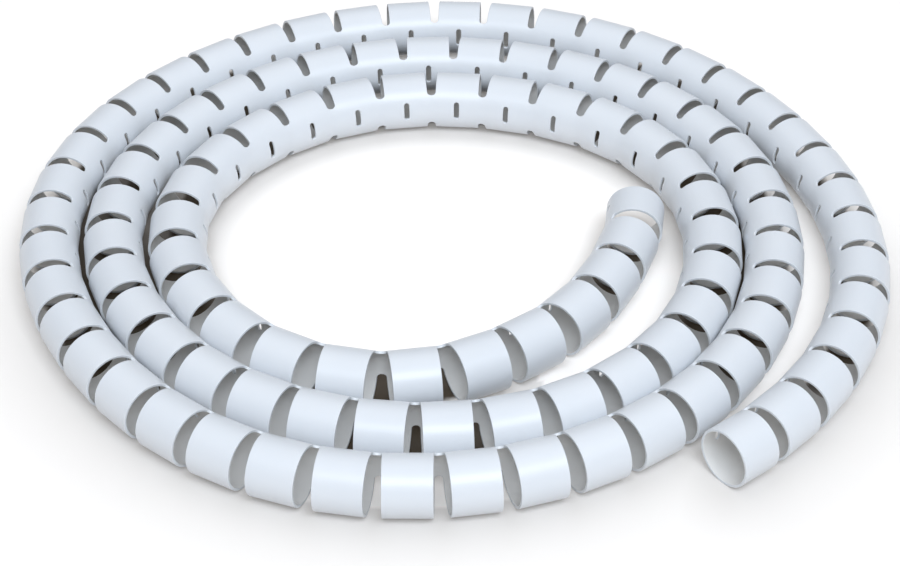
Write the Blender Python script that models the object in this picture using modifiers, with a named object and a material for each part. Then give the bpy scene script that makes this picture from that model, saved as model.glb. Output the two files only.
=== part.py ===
"""Spiral cable wrap: one slotted plastic tube, wound flat into a coil of a little over three turns.

Metres, +Z up. The coil lies on z = 0 with the middle of its outline on the Z axis, and is seen from
the front along +Y. Angles round the tube are measured at its centre line: 0 points away from the
coil's middle, 90 up, 180 towards the coil's middle and 270 down.
"""

import math

import bmesh
import bpy
import numpy as np

MM = 0.001

# Tube section
TUBE_DIA = 25.0 * MM
WALL = 1.2 * MM
FOOT_WIDTH = 6.0 * MM

# Ribs and slots along the tube
RIB_LENGTH = 19.75 * MM
SLOT_WIDTH = 2.9 * MM
OUTER_END_TRIM = 2.0 * MM
INNER_END_TRIM = 3.0 * MM

# The uncut spine on the coil side, and the short relief slot in the middle of each rib
SPINE_FROM = 138.0
SPINE_ARC = 66.0
RELIEF_ARC = 39.0
RELIEF_WIDTH = 2.3 * MM
ARCH_CORNERS = (315.0, 360.0, 405.0, 450.0)

# The coil: stations an eighth of a turn apart, counter-clockwise from the outer end to the inner end.
# The last stations give the centre line's radius as shares of the inner turn's. Each station before
# them lies outside the turn that follows it, and gives the clear gap there as a share of the mean gap.
STATION_STEP = 45.0
FIRST_STATION = -60.0
FIRST_RIB_ANGLE = -48.5
LAST_RIB_ANGLE = 1090.0
MEAN_GAP = 5.0 * MM
GAP_SHARES = (
    0.62, 2.22, 0.82, 1.42, 0.90, 0.60, 0.38, 1.06,
    0.36, 0.20, 0.48, 1.08, 1.02, 0.70, 0.24, 0.88,
    3.46, 3.00)
INNER_TURN_RADIUS = 100.0 * MM
RADIUS_SHARES = (1.192, 1.090, 1.075, 1.088, 1.027, 0.954, 0.818, 0.815, 0.999)

STATIONS_PER_TURN = round(360.0 / STATION_STEP)
SAMPLES_PER_STATION = 200

WRAP_WHITE = (0.86, 0.89, 0.90, 1.0)
ROUGHNESS = 0.22


def clear_scene():
    """Remove every object, so that the script also runs from an open file."""
    for thing in list(bpy.data.objects):
        bpy.data.objects.remove(thing, do_unlink=True)


def make_material(name, colour, roughness):
    """Return a plain Principled material."""
    material = bpy.data.materials.new(name)
    material.use_nodes = True
    shader = material.node_tree.nodes["Principled BSDF"]
    shader.inputs["Base Color"].default_value = colour
    shader.inputs["Roughness"].default_value = roughness
    shader.inputs["Metallic"].default_value = 0.0
    material.diffuse_color = colour
    return material


def station_radii():
    """Return the centre line's radius at every station, from the outer end inwards."""
    radii = [share * INNER_TURN_RADIUS for share in RADIUS_SHARES]
    for share in reversed(GAP_SHARES):
        radii.insert(0, radii[STATIONS_PER_TURN - 1] + TUBE_DIA + share * MEAN_GAP)
    return np.array(radii)


def centre_line():
    """Return finely spaced centre line points, unit tangents and the length along the tube's spine."""
    radii = station_radii()
    slopes = np.gradient(radii)
    place = np.linspace(0.0, len(radii) - 1.0, (len(radii) - 1) * SAMPLES_PER_STATION + 1)
    low = np.minimum(place.astype(int), len(radii) - 2)
    t = place - low
    radius = ((2 * t**3 - 3 * t**2 + 1) * radii[low] + (t**3 - 2 * t**2 + t) * slopes[low]
              + (3 * t**2 - 2 * t**3) * radii[low + 1] + (t**3 - t**2) * slopes[low + 1])
    angle = np.radians(FIRST_STATION + STATION_STEP * place)
    points = np.column_stack((radius * np.cos(angle), radius * np.sin(angle)))
    tangents = np.gradient(points, axis=0)
    step = np.linalg.norm(tangents, axis=1)
    tangents /= step[:, None]
    heading = np.unwrap(np.arctan2(tangents[:, 1], tangents[:, 0]))
    spine_angle = math.radians(SPINE_FROM + SPINE_ARC / 2)
    spine_reach = -TUBE_DIA / 2 * math.cos(spine_angle)
    travelled = np.concatenate(([0.0], np.cumsum((step[1:] + step[:-1]) / 2)))
    spine_length = travelled - spine_reach * (heading - heading[0])
    return angle, points, tangents, spine_length


def rib_frames():
    """Return the middle point and direction of every rib that fits, spaced evenly along the spine."""
    angle, points, tangents, spine_length = centre_line()
    ends = np.interp(np.radians((FIRST_RIB_ANGLE, LAST_RIB_ANGLE)), angle, spine_length)
    wanted = np.arange(ends[0], ends[1], RIB_LENGTH + SLOT_WIDTH)
    middles = np.column_stack([np.interp(wanted, spine_length, points[:, i]) for i in range(2)])
    along = np.column_stack([np.interp(wanted, spine_length, tangents[:, i]) for i in range(2)])
    along /= np.linalg.norm(along, axis=1)[:, None]
    return middles, along


def section_points():
    """Return the tube's section as (away from the coil's middle, up) points, spine first."""
    radius = TUBE_DIA / 2
    side = (SPINE_ARC - RELIEF_ARC) / 2
    spine_end = SPINE_FROM + SPINE_ARC
    angles = [SPINE_FROM, SPINE_FROM + side, spine_end - side, spine_end]
    section = [(radius * math.cos(math.radians(a)), radius * math.sin(math.radians(a))) for a in angles]
    section.append((-FOOT_WIDTH / 2, -radius))
    section.append((FOOT_WIDTH / 2, -radius))
    for corner in ARCH_CORNERS:
        a = math.radians(corner)
        section.append((radius * math.cos(a), radius * math.sin(a)))
    return section


def add_ring(mesh, middle, along, offset, section):
    """Add the section's points as vertices, at an offset along the rib from its middle."""
    ring = []
    for away, up in section:
        x = middle[0] + along[0] * offset + along[1] * away
        y = middle[1] + along[1] * offset - along[0] * away
        ring.append(mesh.verts.new((x, y, TUBE_DIA / 2 + up)))
    return ring


def add_rib(mesh, middle, along, start, end, section):
    """Add one rib's faces, open in the middle of its spine, and return its two end rings."""
    first = add_ring(mesh, middle, along, start, section)
    last = add_ring(mesh, middle, along, end, section)
    near = add_ring(mesh, middle, along, -RELIEF_WIDTH / 2, section[1:3])
    far = add_ring(mesh, middle, along, RELIEF_WIDTH / 2, section[1:3])
    mesh.faces.new((last[0], last[1], far[0], near[0], first[1], first[0]))
    mesh.faces.new((near[0], near[1], first[2], first[1]))
    mesh.faces.new((last[1], last[2], far[1], far[0]))
    mesh.faces.new((near[1], far[1], last[2], last[3], first[3], first[2]))
    for i in range(3, len(section)):
        j = (i + 1) % len(section)
        mesh.faces.new((last[i], last[j], first[j], first[i]))
    return first, last


def build_wrap(collection):
    """Build the slotted tube as an open surface, give it its wall and seat the coil on the origin."""
    section = section_points()
    middles, along = rib_frames()
    mesh = bmesh.new()
    previous = None
    for index in range(len(middles)):
        start = -RIB_LENGTH / 2
        end = RIB_LENGTH / 2
        if index == 0:
            start += OUTER_END_TRIM
        if index == len(middles) - 1:
            end -= INNER_END_TRIM
        first, last = add_rib(mesh, middles[index], along[index], start, end, section)
        if previous is not None:
            for i in range(3):
                mesh.faces.new((first[i], first[i + 1], previous[i + 1], previous[i]))
        previous = last

    data = bpy.data.meshes.new("cable_wrap")
    mesh.to_mesh(data)
    mesh.free()
    data.shade_smooth()
    data.set_sharp_from_angle(angle=math.radians(50.0))
    data.materials.append(make_material("wrap_plastic", WRAP_WHITE, ROUGHNESS))

    wrap = bpy.data.objects.new("cable_wrap", data)
    collection.objects.link(wrap)
    shell = wrap.modifiers.new("Wall", 'SOLIDIFY')
    shell.thickness = WALL
    shell.offset = -1.0
    shell.use_even_offset = True
    shell.use_rim = True

    corners = np.array([vertex.co for vertex in data.vertices])
    outline_middle = (corners.min(axis=0) + corners.max(axis=0)) / 2
    wrap.location = (-outline_middle[0], -outline_middle[1], 0.0)
    return wrap


def main():
    """Build the object in its own collection."""
    clear_scene()
    collection = bpy.data.collections.new("spiral_cable_wrap")
    bpy.context.scene.collection.children.link(collection)
    build_wrap(collection)


if __name__ == "__main__":
    main()
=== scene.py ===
"""Spiral cable wrap, the looks: one white plastic tube, slotted into ribs and wound flat into a coil.

Laid out as a Blender 4.5 add-on. Metres, +Z up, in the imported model's own frame, with the coil lying on
z = 0 and seen from the front along +Y. Angles round the tube are measured at its centre line: 0 points
away from the coil's middle, 90 up, 180 towards the coil's middle and 270 down.
"""

import math

import bpy
import numpy as np
from bpy.props import FloatProperty, FloatVectorProperty, IntProperty, PointerProperty
from bpy.types import Operator, Panel, PropertyGroup
from mathutils import Matrix, Vector


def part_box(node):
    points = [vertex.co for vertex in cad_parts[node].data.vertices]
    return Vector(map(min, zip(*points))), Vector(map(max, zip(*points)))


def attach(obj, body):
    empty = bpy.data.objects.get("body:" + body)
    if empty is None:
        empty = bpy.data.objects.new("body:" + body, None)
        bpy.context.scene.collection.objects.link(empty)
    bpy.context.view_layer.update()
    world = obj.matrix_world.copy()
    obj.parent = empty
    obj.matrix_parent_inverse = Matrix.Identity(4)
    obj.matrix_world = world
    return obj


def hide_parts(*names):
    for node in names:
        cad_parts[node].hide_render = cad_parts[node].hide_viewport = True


bl_info = {
    "name": "Spiral Cable Wrap",
    "version": (1, 0, 0),
    "blender": (4, 5, 0),
    "location": "View3D > Sidebar > Cable Wrap",
    "description": "Builds a slotted cable wrap wound flat into a coil, with its floor, lights and camera",
    "category": "Add Mesh",
}

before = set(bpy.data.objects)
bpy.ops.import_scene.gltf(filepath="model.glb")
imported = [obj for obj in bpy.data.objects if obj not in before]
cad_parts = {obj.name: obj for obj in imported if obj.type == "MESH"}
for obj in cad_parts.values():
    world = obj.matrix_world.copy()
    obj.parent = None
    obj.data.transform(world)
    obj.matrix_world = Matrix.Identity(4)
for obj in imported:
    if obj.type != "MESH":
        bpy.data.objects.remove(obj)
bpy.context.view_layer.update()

MM = 0.001
TURN = 2 * math.pi

# How far the visual coil may differ from the CAD node's box before the operator stops
BOX_TOLERANCE = 0.3 * MM
# Points nearer to each other than this are one vertex
WELD_STEP = 0.002 * MM
# The floor's shade: centre line points used between two stations, how many times the line is moved
# back, how many of its points are measured at a time, and grid lines from the fine part to each edge
SHADE_POINTS = 40
SHADE_SWEEPS = 6
LINE_BLOCK = 16
WIDE_LINES = 4


def linear(hex_colour):
    """Turn an sRGB hex colour into linear RGB."""
    values = np.array([int(hex_colour[i:i + 2], 16) for i in (1, 3, 5)]) / 255.0
    curved = np.where(values <= 0.04045, values / 12.92, ((values + 0.055) / 1.055) ** 2.4)
    return tuple(float(value) for value in curved)


class TubeSizes(PropertyGroup):
    """Sizes of the slotted tube."""

    diameter: FloatProperty(
        name="Diameter", description="Outside diameter of the tube",
        default=25.0 * MM, unit="LENGTH", subtype="DISTANCE")
    wall: FloatProperty(
        name="Wall", description="Thickness of the tube's wall",
        default=1.2 * MM, unit="LENGTH", subtype="DISTANCE")
    rib_length: FloatProperty(
        name="Rib length", description="Length of one rib along the tube",
        default=19.75 * MM, unit="LENGTH", subtype="DISTANCE")
    slot_width: FloatProperty(
        name="Slot width", description="Width of the slot between two ribs before the tube is bent",
        default=2.9 * MM, unit="LENGTH", subtype="DISTANCE")
    outer_end_trim: FloatProperty(
        name="Outer end trim", description="Length cut off the first rib",
        default=2.0 * MM, unit="LENGTH", subtype="DISTANCE")
    inner_end_trim: FloatProperty(
        name="Inner end trim", description="Length cut off the last rib",
        default=3.0 * MM, unit="LENGTH", subtype="DISTANCE")
    spine_from: FloatProperty(
        name="Spine from", description="Section angle at which the slots stop at the top",
        default=math.radians(138.0), unit="ROTATION", subtype="ANGLE")
    spine_arc: FloatProperty(
        name="Spine arc", description="Arc of the uncut spine that joins the ribs",
        default=math.radians(66.0), unit="ROTATION", subtype="ANGLE")
    relief_arc: FloatProperty(
        name="Relief arc", description="Arc of the short relief slot in the middle of each rib's spine",
        default=math.radians(39.0), unit="ROTATION", subtype="ANGLE")
    relief_width: FloatProperty(
        name="Relief width", description="Width of the short relief slot",
        default=2.3 * MM, unit="LENGTH", subtype="DISTANCE")
    edge_radius: FloatProperty(
        name="Edge radius", description="Rounding of the slots' edges",
        default=0.25 * MM, unit="LENGTH", subtype="DISTANCE")


class CoilShape(PropertyGroup):
    """The flat coil that the tube is wound into, from its outer end to its inner end."""

    station_step: FloatProperty(
        name="Station step", description="Angle between the stations that shape the coil",
        default=math.radians(45.0), unit="ROTATION", subtype="ANGLE")
    first_station: FloatProperty(
        name="First station", description="Angle of the outermost station",
        default=math.radians(-60.0), unit="ROTATION", subtype="ANGLE")
    first_rib: FloatProperty(
        name="First rib", description="Angle of the first rib's middle",
        default=math.radians(-48.5), unit="ROTATION", subtype="ANGLE")
    last_rib: FloatProperty(
        name="Last rib", description="Angle that no rib's middle lies past",
        default=math.radians(1090.0), unit="ROTATION", subtype="ANGLE")
    mean_gap: FloatProperty(
        name="Mean gap", description="Mean clear gap between two turns",
        default=5.0 * MM, unit="LENGTH", subtype="DISTANCE")
    gap_shares: FloatVectorProperty(
        name="Gap shares", description="Gap inside each station, as a share of the mean gap", size=18,
        default=(0.62, 2.22, 0.82, 1.42, 0.90, 0.60, 0.38, 1.06, 0.36,
                 0.20, 0.48, 1.08, 1.02, 0.70, 0.24, 0.88, 3.46, 3.00))
    inner_turn_radius: FloatProperty(
        name="Inner turn radius", description="Mean radius of the innermost turn's centre line",
        default=100.0 * MM, unit="LENGTH", subtype="DISTANCE")
    radius_shares: FloatVectorProperty(
        name="Radius shares", description="Radius at each of the last stations, as a share of that mean",
        size=9, default=(1.192, 1.090, 1.075, 1.088, 1.027, 0.954, 0.818, 0.815, 0.999))
    samples: IntProperty(
        name="Samples", description="Points worked out along the centre line between two stations",
        default=200, min=20)


class MeshSteps(PropertyGroup):
    """How finely each stretch of the tube's section is divided."""

    arch: IntProperty(
        name="Arch steps", description="Steps round the slotted part of a rib", default=32, min=8)
    slot_tip: IntProperty(
        name="Slot tip steps", description="Steps in each quarter circle at a slot's end", default=4, min=2)
    relief_side: IntProperty(
        name="Relief side steps", description="Steps from the slots' tips to the relief slot",
        default=3, min=1)
    relief_tip: IntProperty(
        name="Relief tip steps", description="Steps in each quarter circle of a relief slot",
        default=3, min=2)
    relief: IntProperty(
        name="Relief steps", description="Steps along the straight part of a relief slot", default=4, min=1)


class PlasticFinish(PropertyGroup):
    """Colours and gloss of the moulded white plastic."""

    face_colour: FloatVectorProperty(
        name="Face colour", description="Colour of the tube's outer skin",
        subtype="COLOR", size=3, min=0.0, max=1.0, default=linear("#dadde1"))
    shade_colour: FloatVectorProperty(
        name="Shade colour", description="Slightly greyer patches of the outer skin",
        subtype="COLOR", size=3, min=0.0, max=1.0, default=linear("#d4d8dd"))
    # Painted light: the plastic's white made a little lighter and warmer on the bore, standing in for the
    # warm light inside the tube
    bore_colour: FloatVectorProperty(
        name="Bore colour", description="Colour of the matt inner skin",
        subtype="COLOR", size=3, min=0.0, max=1.0, default=linear("#e1e0de"))
    rim_colour: FloatVectorProperty(
        name="Rim colour", description="Colour of the cut edges",
        subtype="COLOR", size=3, min=0.0, max=1.0, default=linear("#d6dade"))
    roughness: FloatProperty(
        name="Roughness", description="Roughness of the outer skin", default=0.36, min=0.0, max=1.0)
    bore_roughness: FloatProperty(
        name="Bore roughness", description="Roughness of the inner skin", default=0.5, min=0.0, max=1.0)


class StageSettings(PropertyGroup):
    """The floor, the lights and the camera."""

    floor_width: FloatProperty(
        name="Floor width", description="Width of the square floor",
        default=6.0, unit="LENGTH", subtype="DISTANCE")
    floor_colour: FloatVectorProperty(
        name="Floor colour", description="Colour of the plain floor",
        subtype="COLOR", size=3, min=0.0, max=1.0, default=linear("#f3efeb"))
    floor_glow: FloatProperty(
        name="Floor glow", description="Strength of the floor's own light, which keeps its shadows pale",
        default=0.15, min=0.0)
    # Painted shade: the deep brown grey painted on the floor under, behind and between the turns in place of
    # their shadow
    shade_colour: FloatVectorProperty(
        name="Shade colour", description="Colour of the floor deep under the coil",
        subtype="COLOR", size=3, min=0.0, max=1.0, default=linear("#43392c"))
    shade_core: FloatProperty(
        name="Shade core", description="Half width of the full shade under a turn",
        default=5.5 * MM, unit="LENGTH", subtype="DISTANCE")
    shade_edge: FloatProperty(
        name="Shade edge", description="Distance at which the shade under a turn ends",
        default=9.0 * MM, unit="LENGTH", subtype="DISTANCE")
    shade_start: FloatProperty(
        name="Shade start", description="How far behind its centre line the shade under a turn lies",
        default=6.0 * MM, unit="LENGTH", subtype="DISTANCE")
    shade_reach: FloatProperty(
        name="Shade reach", description="How far behind its centre line an inner turn's shade reaches",
        default=15.0 * MM, unit="LENGTH", subtype="DISTANCE")
    under_stop: FloatProperty(
        name="Under stop", description="How far before the last rib's middle the shade under it stops",
        default=9.0 * MM, unit="LENGTH", subtype="DISTANCE")
    behind_stop: FloatProperty(
        name="Behind stop", description="How far before the last rib's middle the shade behind it stops",
        default=18.0 * MM, unit="LENGTH", subtype="DISTANCE")
    lit_front: FloatVectorProperty(
        name="Lit front", description="Y where the outermost turn's shade starts, and where it is full",
        size=2, default=(-110.0 * MM, -80.0 * MM), unit="LENGTH")
    gap_core: FloatProperty(
        name="Gap core", description="Distance between two centre lines at which their gap is all shade",
        default=27.0 * MM, unit="LENGTH", subtype="DISTANCE")
    gap_edge: FloatProperty(
        name="Gap edge", description="Distance between two centre lines at which their gap is lit",
        default=32.0 * MM, unit="LENGTH", subtype="DISTANCE")
    gap_fade: FloatProperty(
        name="Gap fade", description="Angle over which a wide gap turns to open floor at its open end",
        default=0.35, unit="ROTATION", subtype="ANGLE")
    halo_depth: FloatProperty(
        name="Halo depth", description="Depth of the faint soft shade at the coil's outline",
        default=0.26, min=0.0, max=1.0)
    halo_power: FloatProperty(
        name="Halo power", description="Power by which the faint soft shade falls off", default=1.3, min=0.1)
    halo_outside: FloatProperty(
        name="Halo outside", description="Width of the faint soft shade outside the coil",
        default=60.0 * MM, unit="LENGTH", subtype="DISTANCE")
    halo_inside: FloatProperty(
        name="Halo inside", description="Width of the faint soft shade in the coil's open middle",
        default=14.0 * MM, unit="LENGTH", subtype="DISTANCE")
    halo_split: FloatProperty(
        name="Halo split", description="Distance from the coil's pole that parts its middle from outside",
        default=125.0 * MM, unit="LENGTH", subtype="DISTANCE")
    halo_back: FloatVectorProperty(
        name="Halo back", description="Y where the outer soft shade has faded out, and where it is full",
        size=2, default=(150.0 * MM, -100.0 * MM), unit="LENGTH")
    grid_reach: FloatProperty(
        name="Grid reach", description="How far from the middle the floor's grid is fine",
        default=260.0 * MM, unit="LENGTH", subtype="DISTANCE")
    grid_step: FloatProperty(
        name="Grid step", description="Step of the fine part of the floor's grid",
        default=2.0 * MM, unit="LENGTH", subtype="DISTANCE")
    key_place: FloatVectorProperty(
        name="Key place", description="Middle of the soft light above the camera",
        size=3, default=(0.45, -2.25, 3.15), unit="LENGTH", subtype="TRANSLATION")
    top_place: FloatVectorProperty(
        name="Top place", description="Middle of the wide soft light overhead, which faces straight down",
        size=3, default=(0.0, 0.25, 1.8), unit="LENGTH", subtype="TRANSLATION")
    top_size: FloatVectorProperty(
        name="Top size", description="Width and depth of the wide soft light overhead",
        size=2, default=(3.0, 3.0), unit="LENGTH")
    key_size: FloatVectorProperty(
        name="Key size", description="Width and height of the soft light above the camera",
        size=2, default=(2.8, 1.5), unit="LENGTH")
    sky_strength: FloatProperty(
        name="Sky strength", description="Strength of the even light from all round", default=0.28, min=0.0)
    top_power: FloatProperty(
        name="Top power", description="Power of the wide soft light overhead",
        default=18.0, min=0.0, unit="POWER")
    key_power: FloatProperty(
        name="Key power", description="Power of the soft light above the camera",
        default=128.0, min=0.0, unit="POWER")
    camera_focal: FloatProperty(
        name="Focal length", description="Focal length in millimetres on a 36 mm sensor", default=98.3)
    camera_elevation: FloatProperty(
        name="Camera elevation", description="Angle of the camera above the horizon",
        default=math.radians(38.14), unit="ROTATION", subtype="ANGLE")
    camera_roll: FloatProperty(
        name="Camera roll", description="Turn of the camera about its own axis",
        default=math.radians(-0.43), unit="ROTATION", subtype="ANGLE")
    camera_distance: FloatProperty(
        name="Camera distance", description="Distance from the camera to the point that it looks at",
        default=1.050, unit="LENGTH", subtype="DISTANCE")
    camera_target: FloatVectorProperty(
        name="Camera target", description="Floor point that the camera looks at, from the coil's pole",
        size=3, default=(8.98 * MM, -13.85 * MM, 0.0), unit="LENGTH", subtype="TRANSLATION")


def turn_radii(tube, coil):
    """Centre line radius at every station: the inner ones are shares of the inner turn's radius, and
    each one before them is the radius one turn further in, plus the tube and the clear gap."""
    radii = [share * coil.inner_turn_radius for share in coil.radius_shares]
    per_turn = round(TURN / coil.station_step)
    for share in reversed(coil.gap_shares):
        radii.insert(0, radii[per_turn - 1] + tube.diameter + share * coil.mean_gap)
    return np.array(radii)


def spine_reach(tube):
    """Distance from the centre line to the middle of the spine, towards the coil's middle."""
    return -tube.diameter / 2 * math.cos(tube.spine_from + tube.spine_arc / 2)


def centre_line(tube, coil):
    """Points and tangents along the coil, and the length travelled along the spine. The radius runs
    through the stations on a cubic Hermite curve, and the spine, which lies inside the centre line,
    is shorter by its reach times the angle turned."""
    radii = turn_radii(tube, coil)
    slopes = np.gradient(radii)
    place = np.linspace(0.0, len(radii) - 1.0, (len(radii) - 1) * coil.samples + 1)
    low = np.minimum(place.astype(int), len(radii) - 2)
    t = place - low
    radius = ((2 * t**3 - 3 * t**2 + 1) * radii[low] + (t**3 - 2 * t**2 + t) * slopes[low]
              + (3 * t**2 - 2 * t**3) * radii[low + 1] + (t**3 - t**2) * slopes[low + 1])
    angle = coil.first_station + coil.station_step * place
    points = np.column_stack((radius * np.cos(angle), radius * np.sin(angle)))
    tangents = np.gradient(points, axis=0)
    step = np.linalg.norm(tangents, axis=1)
    tangents /= step[:, None]
    heading = np.unwrap(np.arctan2(tangents[:, 1], tangents[:, 0]))
    travelled = np.concatenate(([0.0], np.cumsum((step[1:] + step[:-1]) / 2)))
    spine_length = travelled - spine_reach(tube) * (heading - heading[0])
    return angle, points, tangents, spine_length


def rib_frames(tube, coil):
    """Middle point and direction of every rib that fits, one pitch apart along the spine."""
    angle, points, tangents, spine_length = centre_line(tube, coil)
    ends = np.interp((coil.first_rib, coil.last_rib), angle, spine_length)
    wanted = np.arange(ends[0], ends[1], tube.rib_length + tube.slot_width)
    middles = np.column_stack([np.interp(wanted, spine_length, points[:, i]) for i in range(2)])
    along = np.column_stack([np.interp(wanted, spine_length, tangents[:, i]) for i in range(2)])
    along /= np.linalg.norm(along, axis=1)[:, None]
    return middles, along


def section_lines(tube, steps):
    """Lines round the tube, in order of rising section angle, starting under the spine.

    A line's angle is its place on the skin. A slot ends in a half circle, so its last lines fan out
    round that circle: turn is the fan's angle, 0 along the slot's straight side and a quarter turn at
    the tip, and side says which end of the slot the fan is at. The relief slot in the spine has the
    same values of its own."""
    radius = tube.diameter / 2
    edge = tube.edge_radius
    quarter = np.linspace(0.0, math.pi / 2, steps.slot_tip + 1)[1:]
    relief_quarter = np.linspace(0.0, math.pi / 2, steps.relief_tip + 1)[1:]
    half_slot = tube.slot_width / 2
    half_relief = tube.relief_width / 2

    slot_low = tube.spine_from + tube.spine_arc + half_slot / radius
    slot_high = tube.spine_from + TURN - half_slot / radius
    middle = tube.spine_from + TURN + tube.spine_arc / 2
    relief_low = middle - tube.relief_arc / 2 + half_relief / radius
    relief_high = middle + tube.relief_arc / 2 - half_relief / radius
    fan = (half_slot + edge) * np.sin(quarter) / radius
    relief_fan = (half_relief + edge) * np.sin(relief_quarter) / radius
    arch = np.linspace(slot_low, slot_high, steps.arch + 1)
    relief = np.linspace(relief_low, relief_high, steps.relief + 1)
    above = np.linspace(slot_high + fan[-1], relief_low - relief_fan[-1], steps.relief_side + 1)[1:-1]
    below = np.linspace(relief_high + relief_fan[-1], slot_low + TURN - fan[-1],
                        steps.relief_side + 1)[1:-1]

    # Stretches in order: angle, slot turn, slot side, relief turn, relief side, slotted, relieved
    zero = np.zeros_like
    one = np.ones_like
    stretches = (
        (slot_low - fan[::-1], quarter[::-1], -one(quarter), zero(fan), zero(fan), one(fan), zero(fan)),
        (arch, zero(arch), zero(arch), zero(arch), zero(arch), one(arch), zero(arch)),
        (slot_high + fan, quarter, one(quarter), zero(fan), zero(fan), one(fan), zero(fan)),
        (above, zero(above), zero(above), zero(above), zero(above), zero(above), zero(above)),
        (relief_low - relief_fan[::-1], zero(relief_fan), zero(relief_fan), relief_quarter[::-1],
         -one(relief_fan), zero(relief_fan), one(relief_fan)),
        (relief, zero(relief), zero(relief), zero(relief), zero(relief), zero(relief), one(relief)),
        (relief_high + relief_fan, zero(relief_fan), zero(relief_fan), relief_quarter,
         one(relief_fan), zero(relief_fan), one(relief_fan)),
        (below, zero(below), zero(below), zero(below), zero(below), zero(below), zero(below)),
    )
    columns = [np.concatenate(column) for column in zip(*stretches)]
    names = ("angle", "turn", "side", "relief_turn", "relief_side", "slotted", "relieved")
    lines = dict(zip(names, columns))
    lines["slotted"] = lines["slotted"] > 0.5
    lines["relieved"] = lines["relieved"] > 0.5
    return lines


def edge_profile(tube):
    """The wall's edge, from the outer skin to the inner skin, as three arrays: how far back from the
    slot's edge each point lies, its radius from the centre line, and how far its normal has turned
    from straight out. Both corners are rounded, the outer one in two steps."""
    edge = tube.edge_radius
    outer = tube.diameter / 2
    inner = outer - tube.wall
    part = edge * (1 - math.cos(math.pi / 4))
    back = np.array((edge, part, 0.0, 0.0, edge))
    radius = np.array((outer, outer - part, outer - edge, inner + edge, inner))
    turned = np.array((0.0, math.pi / 4, math.pi / 2, math.pi / 2, math.pi))
    return back, radius, turned


def half_rib_points(tube, lines, cut):
    """One half of a rib as a grid of lines by points round the wall's profile.

    The profile runs from the rib's middle along the outer skin to the slot's edge, round the edge,
    back along the inner skin and round the relief slot's edge. On a slot's straight side the edge
    stands half a slot from the pitch line, and at its ends it follows a half circle. Where cut is not
    None the half ends in a straight cut instead, that far from the rib's middle. Returns the distance
    from the rib's middle, section angle, radius, turn of the normal, and the edge's direction along
    and round the tube."""
    back, radius, turned = edge_profile(tube)
    outer = tube.diameter / 2
    half_pitch = (tube.rib_length + tube.slot_width) / 2
    angle = lines["angle"][:, None]
    shift = back - tube.edge_radius

    if cut is None:
        cos_turn = np.where(lines["slotted"], np.cos(lines["turn"]), 0.0)[:, None]
        sin_turn = (lines["side"] * np.sin(lines["turn"]))[:, None]
        slot_along = half_pitch - (tube.slot_width / 2 + back) * cos_turn
        slot_angle = angle + shift * sin_turn / outer
        slot_way = (cos_turn + 0 * shift, -sin_turn + 0 * shift)
        inset = tube.rib_length / 2 - 2.5 * tube.edge_radius
    else:
        slot_along = cut - back + 0 * angle
        slot_angle = angle + 0 * shift
        slot_way = (1.0 + 0 * slot_along, 0 * slot_along)
        inset = cut - 2.5 * tube.edge_radius

    cos_relief = np.where(lines["relieved"], np.cos(lines["relief_turn"]), 0.0)[:, None]
    sin_relief = (lines["relief_side"] * np.sin(lines["relief_turn"]))[:, None]
    relief_along = (tube.relief_width / 2 + back) * cos_relief
    relief_angle = angle + shift * sin_relief / outer
    relief_way = (-cos_relief + 0 * shift, -sin_relief + 0 * shift)

    column = np.ones_like(angle)
    zero = 0 * column
    row = np.ones_like(angle) * np.ones_like(back)

    def profile(relief, outer_mid, slot, inner_mid):
        return np.concatenate((relief[:, :1], outer_mid, slot, inner_mid, relief[:, :0:-1]), axis=1)

    along = profile(relief_along, inset * column, slot_along, inset * column)
    around = profile(relief_angle, angle, slot_angle, angle)
    reach = profile(radius * row, radius[0] * column, radius * row, radius[-1] * column)
    normal_turn = profile(turned * row, turned[0] * column, turned * row, turned[-1] * column)
    way_along = profile(relief_way[0], zero, slot_way[0], zero)
    way_around = profile(relief_way[1], zero, slot_way[1], zero)
    return np.stack((along, around, reach, normal_turn, way_along, way_around))


def blended_frames(tube, middles, along, neighbours, sign, distance):
    """Centre line point and direction at a distance from each rib's middle. Within the rib they are
    straight. Past its end the spine bends to the neighbour on a cubic Hermite curve between the two
    ribs' ends, and the direction turns evenly."""
    half = tube.rib_length / 2
    reach = spine_reach(tube)
    inward = np.stack((-along[:, 1], along[:, 0]), axis=1)
    start = middles + sign * along * half + inward * reach
    other = neighbours
    finish = middles[other] - sign * along[other] * half + inward[other] * reach
    span = np.linalg.norm(finish - start, axis=1)[:, None]
    v = np.clip((distance - half) / tube.slot_width, 0.0, 0.5)[..., None]
    behind = np.minimum(distance - half, 0.0)[..., None]
    shape = (len(middles), 1, 1, 2)
    start_way = (sign * along * span).reshape(shape)
    finish_way = (sign * along[other] * span).reshape(shape)
    spine = ((2 * v**3 - 3 * v**2 + 1) * start.reshape(shape) + (v**3 - 2 * v**2 + v) * start_way
             + (3 * v**2 - 2 * v**3) * finish.reshape(shape) + (v**3 - v**2) * finish_way)
    heading = (1 - v) * along.reshape(shape) + v * along[other].reshape(shape)
    heading /= np.linalg.norm(heading, axis=-1, keepdims=True)
    outward = np.stack((heading[..., 1], -heading[..., 0]), axis=-1)
    return spine + sign * heading * behind + outward * reach, heading, outward


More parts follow.
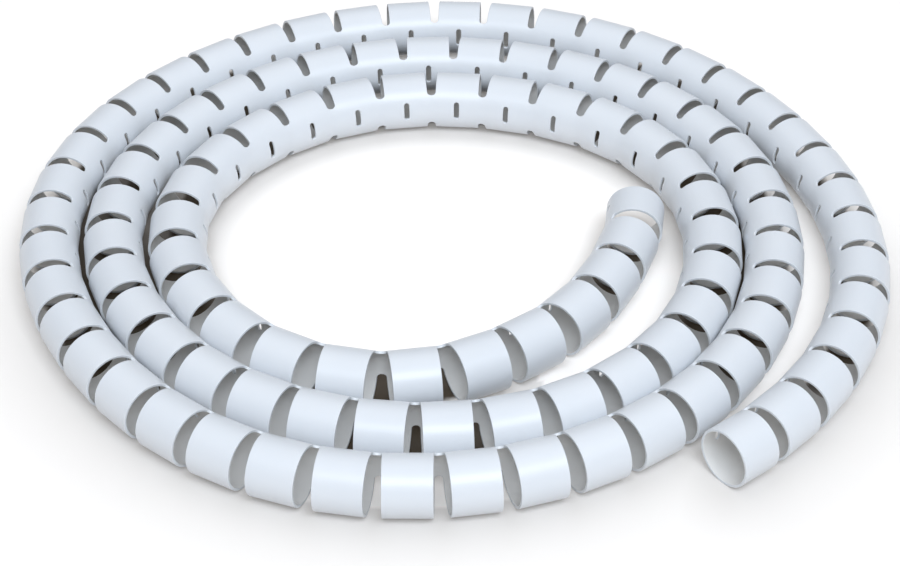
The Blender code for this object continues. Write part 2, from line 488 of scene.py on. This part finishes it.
def wrap_grid(tube, coil, steps):
    """Points, normals, skin values, faces and the faces' texture places of every half rib.

    A point at section angle a and radius r lies r cos a outwards and r sin a above the centre line.
    Its normal leans from straight out towards the slot by the profile's turn t. Its two skin values
    are sin t, which is 1 on a cut edge, and (1 - cos t) / 2, which is 1 on the inner skin. Faces join
    neighbouring lines and neighbouring profile points, but not across an edge where the tube isn't
    cut."""
    middles, along = rib_frames(tube, coil)
    count = len(middles)
    lines = section_lines(tube, steps)
    line_count = len(lines["angle"])
    edge_points = len(edge_profile(tube)[0])
    profile_count = 2 * edge_points + 2
    slot_steps = np.arange(2, edge_points + 1)
    relief_steps = np.arange(edge_points + 3, profile_count)
    following = np.roll(np.arange(line_count), -1)
    slotted = lines["slotted"] & lines["slotted"][following]
    relieved = lines["relieved"] & lines["relieved"][following]

    points, normals, places, quads, skins = [], [], [], [], []
    for sign, last, trim in ((-1, 0, tube.outer_end_trim), (1, count - 1, tube.inner_end_trim)):
        plain = half_rib_points(tube, lines, None)
        ended = half_rib_points(tube, lines, tube.rib_length / 2 - trim)
        grid = np.repeat(plain[:, None], count, axis=1)
        grid[:, last] = ended
        distance, around, reach, turned, way_along, way_around = grid
        neighbours = np.clip(np.arange(count) + sign, 0, count - 1)
        centre, heading, outward = blended_frames(tube, middles, along, neighbours, sign, distance)
        cos_a, sin_a = np.cos(around)[..., None], np.sin(around)[..., None]
        place = np.concatenate((centre + outward * reach[..., None] * cos_a,
                                tube.diameter / 2 + reach[..., None] * sin_a), axis=-1)
        level = np.zeros_like(cos_a)
        outer_way = np.concatenate((outward * cos_a, sin_a), axis=-1)
        round_way = np.concatenate((-outward * sin_a, cos_a), axis=-1)
        along_way = np.concatenate((sign * heading, level), axis=-1)
        lean = way_along[..., None] * along_way + way_around[..., None] * round_way
        normal = np.cos(turned)[..., None] * outer_way + np.sin(turned)[..., None] * lean

        shown = np.ones((count, line_count, profile_count), bool)
        shown[:, :, slot_steps] = slotted[None, :, None]
        shown[last][:, slot_steps] = True
        shown[:, :, relief_steps] = relieved[None, :, None]

        index = len(points) * shown.size + np.arange(shown.size).reshape(shown.shape)
        ahead = np.roll(index, -1, axis=2)
        corners = np.stack((index, ahead, ahead[:, following], index[:, following]), axis=-1)
        pitch = tube.rib_length + tube.slot_width
        travelled = np.arange(count)[:, None, None] * pitch + sign * distance
        girth = around * tube.diameter / 2
        wrapped = girth[:, following].copy()
        wrapped[:, -1] += math.pi * tube.diameter
        further = np.roll(travelled, -1, axis=2)
        run = np.stack((travelled, further, further[:, following], travelled[:, following]), axis=-1)
        rise = np.stack((girth, np.roll(girth, -1, axis=2), np.roll(wrapped, -1, axis=2), wrapped), axis=-1)
        uv = np.stack((run, rise), axis=-1)
        if sign < 0:
            corners = corners[..., ::-1]
            uv = uv[..., ::-1, :]
        points.append(place.reshape(-1, 3))
        normals.append(normal.reshape(-1, 3))
        skins.append(np.stack((np.sin(turned), (1 - np.cos(turned)) / 2), axis=-1).reshape(-1, 2))
        quads.append(corners[shown])
        places.append(uv[shown])
    return (np.concatenate(points), np.concatenate(normals), np.concatenate(skins),
            np.concatenate(quads), np.concatenate(places))


def outline_middle(tube, coil):
    """Middle of the coil's outline in plan. The outline is reached at the outer corners of the ribs."""
    middles, along = rib_frames(tube, coil)
    outward = np.stack((along[:, 1], -along[:, 0]), axis=1) * tube.diameter / 2
    half = np.full(len(middles), tube.rib_length / 2)
    before, after = half.copy(), half.copy()
    before[0] -= tube.outer_end_trim
    after[-1] -= tube.inner_end_trim
    corners = np.concatenate((middles + outward - along * before[:, None],
                              middles + outward + along * after[:, None]))
    return (corners.min(axis=0) + corners.max(axis=0)) / 2


def mesh_from_grid(name, points, normals, skins, quads, places):
    """Weld the grid's equal points and fill a mesh with its faces, smooth normals, texture places and
    two attributes: rim is 1 on the cut edges, and bore is 1 on the inner skin."""
    keys = np.round(points / WELD_STEP).astype(np.int64)
    used = np.unique(quads)
    _, first, inverse = np.unique(keys[used], axis=0, return_index=True, return_inverse=True)
    renumber = np.zeros(len(points), np.int64)
    renumber[used] = inverse.reshape(-1)
    kept = used[first]
    corners = renumber[quads].reshape(-1)

    mesh = bpy.data.meshes.new(name)
    mesh.vertices.add(len(kept))
    mesh.vertices.foreach_set("co", points[kept].astype(np.float32).reshape(-1))
    mesh.loops.add(len(corners))
    mesh.loops.foreach_set("vertex_index", corners.astype(np.int32))
    mesh.polygons.add(len(quads))
    mesh.polygons.foreach_set("loop_start", np.arange(0, len(corners), 4, dtype=np.int32))
    mesh.update(calc_edges=True)
    layer = mesh.uv_layers.new(name="along_and_around")
    layer.data.foreach_set("uv", places.astype(np.float32).reshape(-1))
    for column, label in enumerate(("rim", "bore")):
        layer = mesh.attributes.new(label, "FLOAT", "POINT")
        layer.data.foreach_set("value", skins[kept, column].astype(np.float32))
    mesh.shade_smooth()
    lengths = np.linalg.norm(normals[kept], axis=1, keepdims=True)
    mesh.normals_split_custom_set_from_vertices((normals[kept] / lengths).tolist())
    if mesh.validate():
        raise RuntimeError(f"{name}: the grid left faces that Blender had to repair")
    return mesh


def add_node(tree, kind, values=None, links=None, **settings):
    """Add a node, set its settings and input values, and link its inputs from other nodes' outputs."""
    node = tree.nodes.new(kind)
    for name, value in settings.items():
        setattr(node, name, value)
    for name, value in (values or {}).items():
        node.inputs[name].default_value = value
    for name, source in (links or {}).items():
        tree.links.new(source, node.inputs[name])
    return node


def white_polypropylene(finish):
    """White polypropylene, extruded and then slotted: a satin, slightly waxy skin with faint lines along
    the tube, a matt bore, and paler cut edges."""
    material = bpy.data.materials.new("white_extruded_polypropylene")
    material.use_nodes = True
    tree = material.node_tree
    tree.nodes.clear()
    place = add_node(tree, "ShaderNodeTexCoord").outputs["Object"]
    run = add_node(tree, "ShaderNodeUVMap", uv_map="along_and_around").outputs["UV"]
    rim = add_node(tree, "ShaderNodeAttribute", attribute_name="rim").outputs["Fac"]
    bore = add_node(tree, "ShaderNodeAttribute", attribute_name="bore").outputs["Fac"]

    # Broad faint patches about 35 mm across, as the skin cools unevenly
    patches = add_node(tree, "ShaderNodeTexNoise", {"Scale": 1 / 0.035, "Detail": 2.0, "Roughness": 0.45},
                       {"Vector": place})
    skin = add_node(tree, "ShaderNodeMix",
                    {"A": (*finish.face_colour, 1.0), "B": (*finish.shade_colour, 1.0)},
                    {"Factor": patches.outputs["Fac"]}, data_type="RGBA")
    # The inner skin is matt and a little lighter and warmer, painted light for the warm light inside the
    # tube; the cut edges scatter more light
    lined = add_node(tree, "ShaderNodeMix", {"B": (*finish.bore_colour, 1.0)},
                     {"A": skin.outputs[2], "Factor": bore}, data_type="RGBA")
    colour = add_node(tree, "ShaderNodeMix", {"B": (*finish.rim_colour, 1.0)},
                      {"A": lined.outputs[2], "Factor": rim}, data_type="RGBA")

    # Draw lines left by the die, 0.9 mm apart round the tube and 60 mm long
    stretched = add_node(tree, "ShaderNodeMapping", {"Scale": (1 / 0.060, 1 / 0.0009, 1.0)},
                         {"Vector": run})
    draw = add_node(tree, "ShaderNodeTexNoise", {"Scale": 1.0, "Detail": 1.0, "Roughness": 0.5},
                    {"Vector": stretched.outputs["Vector"]})
    # Slight ripple of the wall, about 9 mm across
    ripple = add_node(tree, "ShaderNodeTexNoise", {"Scale": 1 / 0.009, "Detail": 2.0, "Roughness": 0.5},
                      {"Vector": place})
    draw_bump = add_node(tree, "ShaderNodeBump", {"Strength": 0.35, "Distance": 0.004 * MM},
                         {"Height": draw.outputs["Fac"]})
    bump = add_node(tree, "ShaderNodeBump", {"Strength": 0.5, "Distance": 0.05 * MM},
                    {"Height": ripple.outputs["Fac"], "Normal": draw_bump.outputs["Normal"]})

    gloss = add_node(tree, "ShaderNodeMapRange",
                     {"To Min": finish.roughness, "To Max": finish.bore_roughness}, {"Value": bore})
    shader = add_node(tree, "ShaderNodeBsdfPrincipled",
                      {"IOR": 1.49, "Metallic": 0.0, "Subsurface Weight": 0.12,
                       "Subsurface Radius": (1.2, 1.1, 1.0), "Subsurface Scale": 1.0 * MM},
                      {"Base Color": colour.outputs[2], "Roughness": gloss.outputs["Result"],
                       "Normal": bump.outputs["Normal"]})
    add_node(tree, "ShaderNodeOutputMaterial", links={"Surface": shader.outputs["BSDF"]})
    return material


def smooth_step(value, low, high):
    """0 below low and 1 above high, or the other way round, on 3 t^2 - 2 t^3 between them."""
    t = np.clip((value - low) / (high - low), 0.0, 1.0)
    return 3 * t**2 - 2 * t**3


def nearest_distance(x, y, line):
    """Distance from each floor point to the nearest of the line's points, a few of them at a time."""
    nearest = np.full(x.shape, np.inf)
    for block in np.array_split(line, max(1, len(line) // LINE_BLOCK)):
        near = (x[..., None] - block[:, 0])**2 + (y[..., None] - block[:, 1])**2
        nearest = np.minimum(nearest, near.min(axis=-1))
    return np.sqrt(nearest)


def shade_behind(x, y, line, sweep, stage):
    """Shade round a line of points moved back along +Y by each distance of the sweep: 1 within
    shade_core of the nearest moved point, falling to 0 at shade_edge."""
    moved = (line[None] + np.stack((0 * sweep, sweep), axis=-1)[:, None]).reshape(-1, 2)
    return smooth_step(nearest_distance(x, y, moved), stage.shade_edge, stage.shade_core)


def turns_at(x, y, angle, radius):
    """Each floor point's distance from the coil's pole, the coil's own angle there on its first turn,
    and the centre line's radius on each turn at that bearing, not a number where it has ended."""
    start = angle[0] + (np.arctan2(y, x) - angle[0]) % TURN
    turns = [np.interp(start + TURN * k, angle, radius, right=np.nan) for k in range(4)]
    return np.hypot(x, y), start, turns


def shade_between(y, reach, turns, stage):
    """Shade between two of the three full turns: at the point's own bearing, 1 where their centre lines
    are nearer than gap_core, falling to 0 at gap_edge, and the same from one centre line to the other.
    The outermost gap is lit at the front, where it opens to the light."""
    shade = np.zeros_like(reach)
    for k in range(2):
        outer, inner = turns[k], turns[k + 1]
        here = (reach > inner) & (reach < outer)
        closed = smooth_step(outer - inner, stage.gap_edge, stage.gap_core)
        if k == 0:
            closed = closed * smooth_step(y, *stage.lit_front)
        shade = np.maximum(shade, np.where(here, closed, 0.0))
    return shade


def open_gaps(reach, start, turns, coil, stage):
    """1 in the two wide gaps, inside the first turn and inside the third, fading out over gap_fade
    towards the end of the tube that leaves each one open."""
    first = smooth_step(start - coil.first_rib, 0.0, stage.gap_fade)
    last = smooth_step(coil.last_rib - start - 3 * TURN, 0.0, stage.gap_fade)
    outermost = np.where((reach > turns[1]) & (reach < turns[0]), first, 0.0)
    innermost = np.where((reach > turns[3]) & (reach < turns[2]), last, 0.0)
    return np.maximum(outermost, innermost)


def soft_shade(x, y, reach, line, tube, stage):
    """Faint soft shade round the coil: halo_depth at its outline, falling with the clear distance d as
    (1 - d / width) to halo_power. It is wide outside, where it fades out towards the back, and narrow
    in the coil's open middle."""
    clear = nearest_distance(x, y, line) - tube.diameter / 2
    middle = reach < stage.halo_split
    width = np.where(middle, stage.halo_inside, stage.halo_outside)
    side = np.where(middle, 1.0, smooth_step(y, *stage.halo_back))
    return stage.halo_depth * side * (1.0 - np.clip(clear / width, 0.0, 1.0))**stage.halo_power


def floor_shade(x, y, tube, coil, stage):
    """How deep in shade each floor point lies, from 0 to 1: the most of the shade under every turn but
    the front of the outermost, of the shade that the inner turns throw back, of the shade in the
    narrow gaps between turns and of the faint soft shade round the coil. The first two end short of
    the inner end, so that none of them shows past it."""
    angle, points, _, spine_length = centre_line(tube, coil)
    ribs = len(rib_frames(tube, coil)[0])
    first = np.interp(coil.first_rib, angle, spine_length)
    last = first + (ribs - 1) * (tube.rib_length + tube.slot_width)
    step = max(1, coil.samples // SHADE_POINTS)
    middle = outline_middle(tube, coil)
    x = x + middle[0]
    y = y + middle[1]
    used = (spine_length > first) & (spine_length < last)
    whole = used & (spine_length < last - stage.under_stop)
    inner = (angle > coil.first_rib + TURN) & (spine_length < last - stage.behind_stop)
    start = np.array([stage.shade_start])
    sweep = np.linspace(stage.shade_start, stage.shade_reach, SHADE_SWEEPS)
    under = shade_behind(x, y, points[whole][::step], start, stage) * smooth_step(y, *stage.lit_front)
    behind = shade_behind(x, y, points[inner][::step], sweep, stage)
    reach, turn_angle, turns = turns_at(x, y, angle, np.hypot(points[:, 0], points[:, 1]))
    between = shade_between(y, reach, turns, stage)
    halo = soft_shade(x, y, reach, points[used][::step], tube, stage)
    halo = halo * (1.0 - open_gaps(reach, turn_angle, turns, coil, stage))
    return np.maximum.reduce((under, behind, between, halo))


def floor_lines(stage):
    """Grid lines across the floor: grid_step apart within grid_reach of the middle, and a few wide
    steps from there to each edge."""
    reach, step = stage.grid_reach, stage.grid_step
    fine = np.arange(-reach, reach + step / 2, step)
    wide = np.linspace(reach, stage.floor_width / 2, WIDE_LINES)[1:]
    return np.concatenate((-wide[::-1], fine, wide))


def floor_mesh(tube, coil, stage):
    """Flat floor at z = 0 as a grid, with its shade as a point attribute."""
    lines = floor_lines(stage)
    x, y = np.meshgrid(lines, lines, indexing="ij")
    index = np.arange(x.size).reshape(x.shape)
    quads = np.stack((index[:-1, :-1], index[1:, :-1], index[1:, 1:], index[:-1, 1:]), axis=-1)
    mesh = bpy.data.meshes.new("floor")
    mesh.from_pydata(np.stack((x, y, 0 * x), axis=-1).reshape(-1, 3), [], quads.reshape(-1, 4))
    values = floor_shade(x, y, tube, coil, stage).astype(np.float32)
    mesh.attributes.new("shade", "FLOAT", "POINT").data.foreach_set("value", values.reshape(-1))
    return mesh


def pale_floor(stage):
    """Plain white card, painted, with a slight glow of its own so that its shadows stay pale. By the floor's
    shade attribute it is painted with shade in place of shadow: a deep brown grey under, behind and between
    the turns, which the slots of the inner turns look down on, and a faint grey painted shade round the
    coil."""
    material = bpy.data.materials.new("white_card_floor")
    material.use_nodes = True
    tree = material.node_tree
    tree.nodes.clear()
    shade = add_node(tree, "ShaderNodeAttribute", attribute_name="shade").outputs["Fac"]
    # Painted shade: the card's colour turns to the shade colour by the shade attribute, painted in place of
    # the coil's shadow
    card = add_node(tree, "ShaderNodeMix",
                    {"A": (*stage.floor_colour, 1.0), "B": (*stage.shade_colour, 1.0)},
                    {"Factor": shade}, data_type="RGBA")
    shader = add_node(tree, "ShaderNodeBsdfPrincipled",
                      {"Roughness": 0.45, "Emission Strength": stage.floor_glow},
                      {"Base Color": card.outputs[2], "Emission Color": card.outputs[2]})
    add_node(tree, "ShaderNodeOutputMaterial", links={"Surface": shader.outputs["BSDF"]})
    return material


def soft_light(name, place, target, size, power, colour):
    """Add a large rectangular light that faces a point."""
    lamp = bpy.data.lights.new(name, "AREA")
    lamp.shape = "RECTANGLE"
    lamp.size, lamp.size_y = size
    lamp.energy = power
    lamp.color = colour
    light = bpy.data.objects.new(name, lamp)
    bpy.context.scene.collection.objects.link(light)
    light.location = place
    light.rotation_euler = (Vector(target) - Vector(place)).to_track_quat("-Z", "Y").to_euler()
    return light


class CABLEWRAP_OT_build_tube(Operator):
    """Build the slotted tube, wound flat into its coil"""

    bl_idname = "cable_wrap.build_tube"
    bl_label = "Slotted Tube"

    def execute(self, context):
        tube = context.scene.wrap_tube
        coil = context.scene.wrap_coil
        points, normals, skins, quads, places = wrap_grid(tube, coil, context.scene.wrap_steps)
        points[:, :2] -= outline_middle(tube, coil)
        mesh = mesh_from_grid("slotted_tube", points, normals, skins, quads, places)
        mesh.materials.append(white_polypropylene(context.scene.wrap_finish))
        piece = bpy.data.objects.new("slotted_tube", mesh)
        context.scene.collection.objects.link(piece)

        low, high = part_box("cable_wrap")
        corners = np.array([vertex.co for vertex in mesh.vertices])
        gap = max(np.abs(corners.min(axis=0) - low).max(), np.abs(corners.max(axis=0) - high).max())
        if gap > BOX_TOLERANCE:
            raise RuntimeError(f"the slotted tube is {gap / MM:.2f} mm off the CAD node's box")
        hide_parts("cable_wrap")
        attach(piece, "root")
        return {"FINISHED"}


class CABLEWRAP_OT_build_stage(Operator):
    """Build the pale floor with its painted shade, the soft lights and the camera"""

    bl_idname = "cable_wrap.build_stage"
    bl_label = "Stage"

    def execute(self, context):
        scene = context.scene
        settings = scene.wrap_stage
        mesh = floor_mesh(scene.wrap_tube, scene.wrap_coil, settings)
        mesh.materials.append(pale_floor(settings))
        floor = bpy.data.objects.new("floor", mesh)
        scene.collection.objects.link(floor)

        scene.view_settings.view_transform = "Standard"
        world = bpy.data.worlds.new("even_studio_light")
        world.use_nodes = True
        background = world.node_tree.nodes["Background"]
        background.inputs["Color"].default_value = (*linear("#fbfcff"), 1.0)
        background.inputs["Strength"].default_value = settings.sky_strength
        scene.world = world

        below = (settings.top_place[0], settings.top_place[1], 0.0)
        soft_light("top_softbox", settings.top_place, below, settings.top_size,
                   settings.top_power, linear("#ffffff"))
        soft_light("front_softbox", settings.key_place, (0.0, 0.0, 0.0), settings.key_size,
                   settings.key_power, linear("#ecf5ff"))
        self.add_camera(scene, settings)
        return {"FINISHED"}

    def add_camera(self, scene, settings):
        """Place the camera at a distance from its target, at an elevation, with a slight roll."""
        middle = outline_middle(scene.wrap_tube, scene.wrap_coil)
        target = Vector(settings.camera_target) - Vector((middle[0], middle[1], 0.0))
        elevation = settings.camera_elevation
        back = Vector((0.0, -math.cos(elevation), math.sin(elevation)))
        level = Vector((1.0, 0.0, 0.0))
        upright = back.cross(level)
        roll = settings.camera_roll
        right = math.cos(roll) * level + math.sin(roll) * upright
        up = math.cos(roll) * upright - math.sin(roll) * level
        lens = bpy.data.cameras.new("camera")
        lens.lens = settings.camera_focal
        lens.sensor_width = 36.0
        lens.clip_end = 20.0
        camera = bpy.data.objects.new("camera", lens)
        scene.collection.objects.link(camera)
        camera.matrix_world = (Matrix.Translation(target + back * settings.camera_distance)
                               @ Matrix((right, up, back)).transposed().to_4x4())
        scene.camera = camera


class CABLEWRAP_PT_sidebar(Panel):
    """Sizes, colours and builders of the cable wrap"""

    bl_label = "Cable Wrap"
    bl_idname = "CABLEWRAP_PT_sidebar"
    bl_space_type = "VIEW_3D"
    bl_region_type = "UI"
    bl_category = "Cable Wrap"

    def draw(self, context):
        layout = self.layout
        for group in GROUPS:
            box = layout.box()
            box.label(text=group.title())
            settings = getattr(context.scene, "wrap_" + group)
            for name in settings.bl_rna.properties.keys():
                if name not in ("rna_type", "name"):
                    box.prop(settings, name)
        layout.operator(CABLEWRAP_OT_build_tube.bl_idname)
        layout.operator(CABLEWRAP_OT_build_stage.bl_idname)


GROUPS = {
    "tube": TubeSizes,
    "coil": CoilShape,
    "steps": MeshSteps,
    "finish": PlasticFinish,
    "stage": StageSettings,
}

CLASSES = (*GROUPS.values(), CABLEWRAP_OT_build_tube, CABLEWRAP_OT_build_stage, CABLEWRAP_PT_sidebar)


def register():
    """Register the classes and give the scene its groups of settings."""
    for cls in CLASSES:
        bpy.utils.register_class(cls)
    for name, group in GROUPS.items():
        setattr(bpy.types.Scene, "wrap_" + name, PointerProperty(type=group))


def unregister():
    """Undo register."""
    for name in GROUPS:
        delattr(bpy.types.Scene, "wrap_" + name)
    for cls in reversed(CLASSES):
        bpy.utils.unregister_class(cls)


def main():
    """Build everything."""
    register()
    bpy.ops.cable_wrap.build_tube()
    bpy.ops.cable_wrap.build_stage()


if __name__ == "__main__":
    main()
